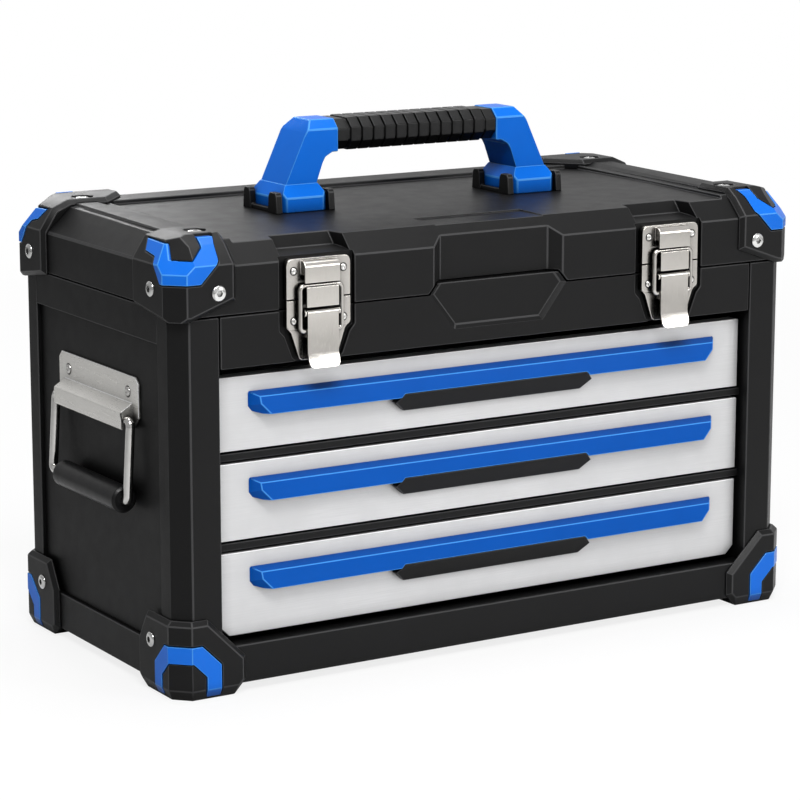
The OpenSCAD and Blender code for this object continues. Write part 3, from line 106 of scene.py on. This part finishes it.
def blend_colours(tree, factor, first, second):
    """The first colour where factor is 0 and the second where it is 1."""
    node = tree.nodes.new("ShaderNodeMix")
    node.data_type = "RGBA"
    tree.links.new(factor, node.inputs["Factor"])
    for index, colour in ((MIX_FIRST, first), (MIX_SECOND, second)):
        if isinstance(colour, bpy.types.NodeSocket):
            tree.links.new(colour, node.inputs[index])
        else:
            node.inputs[index].default_value = (*colour, 1.0)
    return node.outputs[MIX_RESULT]


def tint(colour, factor):
    return tuple(min(1.0, c * factor) for c in colour)


# Where rounded edges get a painted highlight and a rivet's ring gets painted shade
def painted_edge_mask(tree):
    node = tree.nodes.new("ShaderNodeAttribute")
    node.attribute_name = EDGE_MARK
    return node.outputs["Fac"]


def painted_shade_factor(tree, reach):
    """1 on open faces and near 0 in corners and beside parts raised by about reach metres; where it
    is low, shade is painted into the colour.
    """
    node = tree.nodes.new("ShaderNodeAmbientOcclusion")
    node.samples = OCCLUSION_SAMPLES
    node.inputs["Distance"].default_value = reach
    return spread(tree, node.outputs["AO"], 0.0, 1.0, *CORNER_TO_OPEN)


def add_bump(tree, shader, height, depth):
    """Relief of at most depth metres."""
    bump = tree.nodes.new("ShaderNodeBump")
    bump.inputs["Distance"].default_value = depth
    tree.links.new(height, bump.inputs["Height"])
    tree.links.new(bump.outputs["Normal"], shader.inputs["Normal"])


def calculate(tree, operation, first, second):
    """A math node on two values, each a number or a socket."""
    node = tree.nodes.new("ShaderNodeMath")
    node.operation = operation
    for socket, value in zip(node.inputs, (first, second)):
        if isinstance(value, bpy.types.NodeSocket):
            tree.links.new(value, socket)
        else:
            socket.default_value = value
    return node.outputs[0]


def by_ray(tree, seen, reflected, lit):
    """One of three values: for camera rays, for reflections, and for all other rays."""
    path = tree.nodes.new("ShaderNodeLightPath").outputs
    camera_part = calculate(tree, "SUBTRACT", seen, lit)
    camera_part = calculate(tree, "MULTIPLY", path["Is Camera Ray"], camera_part)
    glossy = calculate(tree, "MAXIMUM", path["Is Glossy Ray"], path["Is Transmission Ray"])
    glossy_part = calculate(tree, "SUBTRACT", reflected, lit)
    glossy_part = calculate(tree, "MULTIPLY", glossy, glossy_part)
    return calculate(tree, "ADD", calculate(tree, "ADD", camera_part, glossy_part), lit)


# ------------------------------------------------------------------ materials

# Sizes of soft patches and the reach of the shade painted into corners, in metres
PLASTIC_PATCHES, PLASTIC_SHEEN_PATCHES = 0.035, 0.012
METAL_CLOUDS = 0.03
RUBBER_PATCHES, RUBBER_SHEEN_PATCHES, RUBBER_GRAIN = 0.02, 0.006, 0.0005
PAINTED_SHADE_REACH = 0.012
# A colour's share as painted shade in plastic corners, and as a painted highlight on edges that
# name no colour of their own
PAINTED_CORNER_SHADE, USUAL_EDGE_HIGHLIGHT = 0.3, 1.5
# How far roughness wanders down and up
PLASTIC_ROUGHNESS_SPREAD = (0.03, 0.03)
METAL_ROUGHNESS_SPREAD = (0.05, 0.07)
RUBBER_ROUGHNESS_SPREAD = (0.06, 0.06)
RUBBER_TINTS = (0.85, 1.25)
RUBBER_SPECULAR = 0.27
RUBBER_DEPTH = 0.00006


def set_roughness(tree, shader, value, roughness, wander):
    down, up = wander
    varied = spread(tree, value, roughness - down, roughness + up)
    tree.links.new(varied, shader.inputs["Roughness"])


def mottled(tree, value, colour, darkest, palest):
    """A colour that wanders between two shares of itself with a noise value."""
    patches = spread(tree, value, 0.0, 1.0)
    return blend_colours(tree, patches, tint(colour, darkest), tint(colour, palest))


def moulded_plastic(name, colour, roughness, grain, depth, specular=0.5, mottle=0.12, edge=None):
    """Moulded plastic: faint mottling, a fine grain, a painted highlight on rounded edges and
    painted shade in corners.
    """
    material, tree, shader, place = start_material(name)
    patches = noise(tree, place, PLASTIC_PATCHES, detail=4.0)
    base = mottled(tree, patches, colour, 1 - mottle, 1 + mottle)
    # Rounded edges are painted paler as highlights
    base = blend_colours(tree, painted_edge_mask(tree), base, edge or tint(colour, USUAL_EDGE_HIGHLIGHT))
    # Corners and the foot of raised parts are painted darker as shade
    corner_shade = tint(colour, PAINTED_CORNER_SHADE)
    base = blend_colours(tree, painted_shade_factor(tree, PAINTED_SHADE_REACH), corner_shade, base)
    tree.links.new(base, shader.inputs["Base Color"])
    sheen = noise(tree, place, PLASTIC_SHEEN_PATCHES)
    set_roughness(tree, shader, sheen, roughness, PLASTIC_ROUGHNESS_SPREAD)
    shader.inputs["Specular IOR Level"].default_value = specular
    add_bump(tree, shader, noise(tree, place, grain, detail=2.0), depth)
    return material


def brushed_metal(
    name, colour, roughness, brush, depth,
    metallic=1.0, mottle=0.06, edge=1.4, shade=0.15, reach=PAINTED_SHADE_REACH, line=0.93,
):
    """Metal with fine brush lines: brush is a line's size, depth its relief.

    The colour's shares are edge on rounded edges, painted there as a highlight and on a rivet's
    ring as shade; shade in corners, as painted shade; and line in the lines.
    """
    material, tree, shader, place = start_material(name)
    lines = noise(tree, place, brush, rough=0.7)
    base = mottled(tree, noise(tree, place, METAL_CLOUDS), colour, 1 - mottle, 1 + mottle)
    base = blend_colours(tree, spread(tree, lines, 0.0, 1.0), base, tint(colour, line))
    # Rounded edges are painted paler as highlights, and a rivet's ring dark as shade
    base = blend_colours(tree, painted_edge_mask(tree), base, tint(colour, edge))
    # Corners and the foot of raised parts are painted darker as shade
    base = blend_colours(tree, painted_shade_factor(tree, reach), tint(colour, shade), base)
    tree.links.new(base, shader.inputs["Base Color"])
    set_roughness(tree, shader, lines, roughness, METAL_ROUGHNESS_SPREAD)
    shader.inputs["Metallic"].default_value = metallic
    add_bump(tree, shader, lines, depth)
    return material


def rubber(name, colour, roughness):
    """Smooth dark rubber with faint mottling."""
    material, tree, shader, place = start_material(name)
    patches = noise(tree, place, RUBBER_PATCHES, detail=4.0)
    base = mottled(tree, patches, colour, *RUBBER_TINTS)
    tree.links.new(base, shader.inputs["Base Color"])
    sheen = noise(tree, place, RUBBER_SHEEN_PATCHES)
    set_roughness(tree, shader, sheen, roughness, RUBBER_ROUGHNESS_SPREAD)
    shader.inputs["Specular IOR Level"].default_value = RUBBER_SPECULAR
    add_bump(tree, shader, noise(tree, place, RUBBER_GRAIN, detail=2.0), RUBBER_DEPTH)
    return material


# Size of a brush line along x, y and z
BRUSH_X = (0.03, 0.00035, 0.00035)
BRUSH_Z = (0.0004, 0.0004, 0.012)
BRUSH_Y = (0.0004, 0.012, 0.0004)
DRAWN_Y = (0.0005, 0.02, 0.0005)

BLACK = (0.006, 0.006, 0.0062)
GUARD_BLACK = (0.007, 0.007, 0.0072)
INSERT_BLACK = (0.005, 0.005, 0.0052)
HINGE_BLACK = (0.018, 0.018, 0.019)
GRIP_BLACK = (0.003, 0.003, 0.0032)
# Pale colour painted on rounded black edges as a highlight
BLACK_EDGE_HIGHLIGHT = (0.045, 0.045, 0.046)
BLUE = (0.0003, 0.075, 0.38)
BRIGHT_BLUE = (0.001, 0.13, 0.62)
# Pale colour painted on rounded blue edges as a highlight
BLUE_EDGE_HIGHLIGHT = (0.05, 0.25, 0.68)
TRAY_GREY = (0.028, 0.028, 0.03)
SILVER = (0.63, 0.63, 0.635)
ZINC = (0.55, 0.56, 0.58)
NICKEL = (0.60, 0.575, 0.54)
PLATE_STEEL = (0.86, 0.845, 0.81)
BAIL_CHROME = (0.78, 0.77, 0.75)
RIVET_STEEL = (0.72, 0.71, 0.69)
SCREW_CHROME = (0.78, 0.78, 0.77)

MATERIALS = {
    "body_black": moulded_plastic(
        "body_black_grain", BLACK, 0.42, grain=0.0005, depth=0.00005,
        specular=0.16, mottle=0.06, edge=BLACK_EDGE_HIGHLIGHT,
    ),
    "panel_black": moulded_plastic(
        "panel_black_grain", BLACK, 0.46, grain=0.0006, depth=0.00006,
        specular=0.16, mottle=0.06, edge=BLACK_EDGE_HIGHLIGHT,
    ),
    "guard_black": moulded_plastic(
        "guard_black_grain", GUARD_BLACK, 0.4, grain=0.0004, depth=0.00003,
        specular=0.16, mottle=0.06, edge=BLACK_EDGE_HIGHLIGHT,
    ),
    "trim_blue": moulded_plastic(
        "trim_blue_satin", BRIGHT_BLUE, 0.34, grain=0.0006, depth=0.00001,
        specular=0.22, mottle=0.04, edge=BLUE_EDGE_HIGHLIGHT,
    ),
    "handle_blue": moulded_plastic(
        "handle_blue_satin", BRIGHT_BLUE, 0.32, grain=0.0006, depth=0.00001,
        specular=0.12, mottle=0.04, edge=BLUE_EDGE_HIGHLIGHT,
    ),
    "pull_blue": moulded_plastic(
        "pull_blue_satin", BLUE, 0.32, grain=0.0006, depth=0.00001,
        specular=0.1, mottle=0.04, edge=BLUE_EDGE_HIGHLIGHT,
    ),
    "insert_black": moulded_plastic(
        "insert_black_matte", INSERT_BLACK, 0.5, grain=0.0005, depth=0.00003,
        specular=0.2, mottle=0.06, edge=BLACK_EDGE_HIGHLIGHT,
    ),
    "tray_grey": moulded_plastic(
        "tray_grey_paint", TRAY_GREY, 0.45, grain=0.0012, depth=0.00004,
    ),
    "drawer_silver": brushed_metal(
        "drawer_silver_brushed", SILVER, 0.38, brush=BRUSH_X, depth=0.000006,
        metallic=0.55, shade=0.5,
    ),
    "runner_zinc": brushed_metal(
        "runner_zinc_plate", ZINC, 0.35, brush=DRAWN_Y, depth=0.00001,
    ),
    "latch_nickel": brushed_metal(
        "latch_nickel_satin", NICKEL, 0.22, brush=BRUSH_Z, depth=0.000001,
        shade=0.06, reach=0.02, line=0.97,
    ),
    "handle_plate_steel": brushed_metal(
        "handle_plate_satin", PLATE_STEEL, 0.3, brush=BRUSH_Y, depth=0.000001,
        metallic=0.85, shade=0.1, line=0.97,
    ),
    "bail_chrome": brushed_metal(
        "bail_chrome_polish", BAIL_CHROME, 0.1, brush=0.004, depth=0.000002,
    ),
    # Its marked ring is painted almost black as shade at the rivet's foot
    "rivet_steel": brushed_metal(
        "rivet_steel_polish", RIVET_STEEL, 0.2, brush=0.003, depth=0.000002,
        edge=0.03, shade=0.3, reach=0.0015,
    ),
    "screw_chrome": brushed_metal(
        "screw_chrome_polish", SCREW_CHROME, 0.12, brush=0.003, depth=0.000003,
        shade=0.1, reach=0.003,
    ),
    "hinge_black": moulded_plastic(
        "hinge_black_paint", HINGE_BLACK, 0.4, grain=0.0010, depth=0.00003,
    ),
    "grip_rubber": rubber("grip_rubber_matte", GRIP_BLACK, 0.34),
}


# ------------------------------------------------------------------ rounded copies of the CAD nodes

SHARP = math.radians(24)
FLAT = math.radians(0.7)
SAME_POINT = 2e-6
# Most of a neighbouring edge that a bevel may take up
BEVEL_SHARE = 0.33
BEVEL_SEGMENTS = 2
NORMAL_WEIGHT = 50

# Edge radius in metres for each slot; a slot that isn't named keeps its CAD node
EDGE = {
    "body_black": 0.0007,
    "panel_black": 0.0006,
    "guard_black": 0.0006,
    "trim_blue": 0.0005,
    "handle_blue": 0.0008,
    "pull_blue": 0.0005,
    "insert_black": 0.0006,
    "drawer_silver": 0.0006,
    "latch_nickel": 0.00035,
    "handle_plate_steel": 0.0004,
    "tray_grey": 0.0004,
    "grip_rubber": 0.0005,
}


def put_in_place(name, mesh, node):
    """Makes a mesh a piece that stands for a CAD node."""
    piece = bpy.data.objects.new(name, mesh)
    bpy.context.scene.collection.objects.link(piece)
    mesh.materials.clear()
    mesh.materials.append(MATERIALS[SLOTS[node]])
    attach(piece, BODY[node])
    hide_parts(node)


def weigh_edges(bm, width):
    """Marks sharp edges for the bevel, and narrows it where a neighbouring edge is short."""
    layer = bm.edges.layers.float.get("bevel_weight_edge")
    layer = layer or bm.edges.layers.float.new("bevel_weight_edge")
    for edge in bm.edges:
        if len(edge.link_faces) != 2 or edge.calc_face_angle(0.0) < SHARP:
            continue
        room = min(other.calc_length() for v in edge.verts for other in v.link_edges)
        edge[layer] = max(0.0, min(1.0, BEVEL_SHARE * room / width))


def cleaned_copy(node, width):
    """A CAD node's mesh with flat areas merged and its edges weighed."""
    mesh = NODES[node].data.copy()
    bm = bmesh.new()
    bm.from_mesh(mesh)
    bmesh.ops.remove_doubles(bm, verts=bm.verts, dist=SAME_POINT)
    bmesh.ops.dissolve_limit(
        bm, angle_limit=FLAT, use_dissolve_boundaries=False, verts=bm.verts, edges=bm.edges
    )
    weigh_edges(bm, width)
    for face in bm.faces:
        face.smooth = True
        face.material_index = 0
    bm.to_mesh(mesh)
    bm.free()
    return mesh


def rounded(node, width):
    """Replaces a CAD node by a copy with its sharp edges rounded."""
    mesh = cleaned_copy(node, width)
    # Two slots, so that the bevel can tell its own faces by the second one
    mesh.materials.clear()
    mesh.materials.append(MATERIALS[SLOTS[node]])
    mesh.materials.append(MATERIALS[SLOTS[node]])
    work = bpy.data.objects.new(node + "_work", mesh)
    bpy.context.scene.collection.objects.link(work)
    bevel = work.modifiers.new("Rounding", "BEVEL")
    bevel.material = 1
    bevel.limit_method = "WEIGHT"
    bevel.width = width
    bevel.segments = BEVEL_SEGMENTS
    bevel.use_clamp_overlap = False
    bevel.miter_outer = "MITER_ARC"
    normals = work.modifiers.new("Normals", "WEIGHTED_NORMAL")
    normals.weight = NORMAL_WEIGHT
    normals.keep_sharp = True
    depsgraph = bpy.context.evaluated_depsgraph_get()
    final = bpy.data.meshes.new_from_object(
        work.evaluated_get(depsgraph), preserve_all_data_layers=True, depsgraph=depsgraph
    )
    bpy.data.objects.remove(work)
    # The bevel's own faces are marked for a painted highlight
    mark = final.attributes.new(EDGE_MARK, "FLOAT", "FACE")
    for face in final.polygons:
        mark.data[face.index].value = float(face.material_index)
        face.material_index = 0
    put_in_place(node + "_finished", final, node)


# ------------------------------------------------------------------ turned screws and rivets

TURN_STEPS = 36
TURNED_SHARP = math.radians(40)
HEXAGON_STEP = math.pi / 3

# Rows of a head from its rim to its middle: share of its radius, share of its height, and
# 1 for a hexagonal ring
SCREW = [
    (1.0, 0.0, 0),
    (1.0, 0.3, 0),
    (0.96, 0.5, 0),
    (0.87, 0.68, 0),
    (0.74, 0.84, 0),
    (0.6, 0.94, 0),
    (0.5, 0.98, 0),
    (0.44, 0.96, 1),
    (0.4, 0.3, 1),
    (0.2, 0.24, 0),
]
RIVET = [
    (1.0, 0.0, 0),
    (1.0, 0.04, 0),
    (0.8, 0.04, 0),
    (0.79, 0.3, 0),
    (0.72, 0.62, 0),
    (0.62, 0.84, 0),
    (0.44, 0.97, 0),
    (0.3, 0.98, 0),
    (0.2, 0.8, 0),
    (0.1, 0.76, 0),
]
# The ring of a rivet between its second and third rows is painted dark as the shade at the foot of
# its dome
RIVET_SHADED_RING = 1
TURNED = {
    "lid_guard_screws": (SCREW,),
    "foot_guard_screws": (SCREW,),
    "lid_rivets": (RIVET, RIVET_SHADED_RING),
    "case_rivets": (RIVET, RIVET_SHADED_RING),
}


def islands(node):
    """Lowest and highest corner of each separate solid in a CAD node."""
    bm = bmesh.new()
    bm.from_mesh(NODES[node].data)
    bmesh.ops.remove_doubles(bm, verts=bm.verts, dist=SAME_POINT)
    left = set(bm.verts)
    found = []
    while left:
        group, front = [], [left.pop()]
        while front:
            vert = front.pop()
            group.append(vert.co.copy())
            for edge in vert.link_edges:
                other = edge.other_vert(vert)
                if other in left:
                    left.remove(other)
                    front.append(other)
        found.append([[f(p[i] for p in group) for i in range(3)] for f in (min, max)])
    bm.free()
    return sorted(found)


def turned_head(profile):
    """Points and faces of a head of radius 1 and height 1, ring by ring, then its middle."""
    points, faces = [], []
    for radius, height, hexagonal in profile:
        for i in range(TURN_STEPS):
            a = 2 * math.pi * i / TURN_STEPS
            r = radius
            if hexagonal:
                from_flat = (a % HEXAGON_STEP) - HEXAGON_STEP / 2
                r = radius * math.cos(HEXAGON_STEP / 2) / math.cos(from_flat)
            points.append((r * math.cos(a), r * math.sin(a), height))
    for ring in range(len(profile) - 1):
        low, high = ring * TURN_STEPS, (ring + 1) * TURN_STEPS
        for i in range(TURN_STEPS):
            j = (i + 1) % TURN_STEPS
            faces.append((low + i, low + j, high + j, high + i))
    faces.append(tuple((len(profile) - 1) * TURN_STEPS + i for i in range(TURN_STEPS)))
    return points, faces


def fasteners(node, profile, shaded_ring=None):
    """Replaces a CAD node's plain heads by turned ones, of which one ring may be marked for painted
    shade.
    """
    head_points, head_faces = turned_head(profile)
    points, faces = [], []
    for low, high in islands(node):
        size = [high[i] - low[i] for i in range(3)]
        axis = size.index(min(size))
        middle = Vector([(low[i] + high[i]) / 2 for i in range(3)])
        # A head faces up, or away from the box's middle
        outwards = 1.0 if axis == 2 or middle[axis] > 0 else -1.0
        normal = Vector([outwards if i == axis else 0.0 for i in range(3)])
        base = middle - normal * size[axis] / 2
        radius = max(size) / 2
        turn = normal.to_track_quat("Z", "Y")
        start = len(points)
        for x, y, z in head_points:
            points.append(base + turn @ Vector((x * radius, y * radius, z * size[axis])))
        faces += [tuple(start + i for i in face) for face in head_faces]
    mesh = bpy.data.meshes.new(node + "_turned")
    mesh.from_pydata(points, [], faces)
    for face in mesh.polygons:
        face.use_smooth = True
    mesh.set_sharp_from_angle(angle=TURNED_SHARP)
    # The marked ring is painted dark as shade
    if shaded_ring is not None:
        mark = mesh.attributes.new(EDGE_MARK, "FLOAT", "FACE")
        for face in mesh.polygons:
            ring = face.index % len(head_faces) // TURN_STEPS
            mark.data[face.index].value = float(ring == shaded_ring)
    put_in_place(node + "_turned", mesh, node)


for node, slot in SLOTS.items():
    if node in TURNED:
        fasteners(node, *TURNED[node])
    elif slot in EDGE:
        rounded(node, EDGE[slot])
    else:
        NODES[node].data.materials.clear()
        NODES[node].data.materials.append(MATERIALS[slot])


# ------------------------------------------------------------------ floor, light and camera

FLOOR_SIZE = 6.0
FLOOR_COLOUR = (0.8, 0.8, 0.8, 1)
FLOOR_ROUGHNESS = 0.9
FLOOR_SPECULAR = 0.1
# White's share of the floor as the camera sees it, near and far, and how far those are
FLOOR_WHITE = (0.82, 1.0)
FLOOR_WHITE_AT = (0.45, 1.6)
# How far reflections of the floor are dimmed on the left, and where along x that ends
FLOOR_DIMMED = 0.4
FLOOR_DIMMED_FROM_TO = (-0.27, -0.2)

# The sky's strength as the camera sees it, in reflections and as a light
SKY_SEEN = 1.0
SKY_REFLECTED = 0.7
SKY_LIGHT = 0.24
# The sky's share of those last two on the left, and between which x it rises to 1
LEFT_DIMMED = 0.5
DIMMED_FROM_TO = (-0.6, 0.1)

# Name, place, aim, width, height and power in watts
LAMPS = (
    ("key", (-0.7, -1.35, 1.9), (0, 0, 0.15), 1.0, 0.8, 44),
    ("top", (0.1, 0.1, 2.0), (0, 0, 0.2), 1.3, 0.9, 22),
    ("right", (1.1, -1.75, 0.75), (0, 0, 0.15), 0.6, 0.5, 9),
    ("back", (0.2, 1.3, 0.75), (-0.1, 0, 0.3), 0.5, 0.3, 3),
)

CAMERA_PLACE = (-1.01803, -1.653827, 0.5456)
CAMERA_YAW = math.radians(31.44122)
CAMERA_PITCH = math.radians(11.68286)
CAMERA_SENSOR = 36
CAMERA_LENS = 133.68
CAMERA_CLIP = (0.05, 30)


def floor_material():
    """Pale floor that fades to white away from the box and keeps the box's shadow."""
    material, tree, shader, place = start_material("floor_pale")
    shader.inputs["Base Color"].default_value = FLOOR_COLOUR
    shader.inputs["Roughness"].default_value = FLOOR_ROUGHNESS
    shader.inputs["Specular IOR Level"].default_value = FLOOR_SPECULAR
    glow = tree.nodes.new("ShaderNodeEmission")
    mix = tree.nodes.new("ShaderNodeMixShader")
    distance = tree.nodes.new("ShaderNodeVectorMath")
    distance.operation = "LENGTH"
    tree.links.new(place, distance.inputs[0])
    white = spread(tree, distance.outputs["Value"], *FLOOR_WHITE, *FLOOR_WHITE_AT)
    across = tree.nodes.new("ShaderNodeSeparateXYZ")
    tree.links.new(place, across.inputs[0])
    dimmed = spread(tree, across.outputs["X"], FLOOR_DIMMED, 0.0, *FLOOR_DIMMED_FROM_TO)
    # The emission is white for the camera and black for reflections
    tree.links.new(by_ray(tree, white, dimmed, 0.0), mix.inputs["Fac"])
    tree.links.new(by_ray(tree, 1.0, 0.0, 0.0), glow.inputs["Strength"])
    tree.links.new(shader.outputs[0], mix.inputs[1])
    tree.links.new(glow.outputs[0], mix.inputs[2])
    tree.links.new(mix.outputs[0], tree.nodes["Material Output"].inputs["Surface"])
    return material


def make_floor():
    size = FLOOR_SIZE
    corners = [(-size, -size, 0), (size, -size, 0), (size, size, 0), (-size, size, 0)]
    mesh = bpy.data.meshes.new("floor")
    mesh.from_pydata(corners, [], [(0, 1, 2, 3)])
    floor = bpy.data.objects.new("floor", mesh)
    bpy.context.scene.collection.objects.link(floor)
    mesh.materials.append(floor_material())


def make_world():
    world = bpy.data.worlds.new("studio")
    bpy.context.scene.world = world
    world.use_nodes = True
    tree = world.node_tree
    back = tree.nodes["Background"]
    towards = tree.nodes.new("ShaderNodeTexCoord").outputs["Generated"]
    direction = tree.nodes.new("ShaderNodeSeparateXYZ")
    tree.links.new(towards, direction.inputs[0])
    dimming = spread(tree, direction.outputs["X"], LEFT_DIMMED, 1.0, *DIMMED_FROM_TO)
    reflected = calculate(tree, "MULTIPLY", dimming, SKY_REFLECTED)
    lit = calculate(tree, "MULTIPLY", dimming, SKY_LIGHT)
    back.inputs["Color"].default_value = (1, 1, 1, 1)
    tree.links.new(by_ray(tree, SKY_SEEN, reflected, lit), back.inputs["Strength"])


def softbox(name, place, aim, width, height, power):
    data = bpy.data.lights.new(name, "AREA")
    data.shape = "RECTANGLE"
    data.size = width
    data.size_y = height
    data.energy = power
    lamp = bpy.data.objects.new(name, data)
    bpy.context.scene.collection.objects.link(lamp)
    lamp.location = place
    lamp.rotation_euler = (Vector(aim) - Vector(place)).to_track_quat("-Z", "Y").to_euler()


def make_camera():
    data = bpy.data.cameras.new("camera")
    camera = bpy.data.objects.new("camera", data)
    bpy.context.scene.collection.objects.link(camera)
    level = math.cos(CAMERA_PITCH)
    forward = Vector((
        math.sin(CAMERA_YAW) * level, math.cos(CAMERA_YAW) * level, -math.sin(CAMERA_PITCH)
    ))
    camera.location = CAMERA_PLACE
    camera.rotation_euler = forward.to_track_quat("-Z", "Y").to_euler()
    data.sensor_width = CAMERA_SENSOR
    data.lens = CAMERA_LENS
    data.clip_start, data.clip_end = CAMERA_CLIP
    bpy.context.scene.camera = camera


make_floor()
make_world()
for lamp in LAMPS:
    softbox(*lamp)
make_camera()
bpy.context.scene.view_settings.view_transform = "Standard"
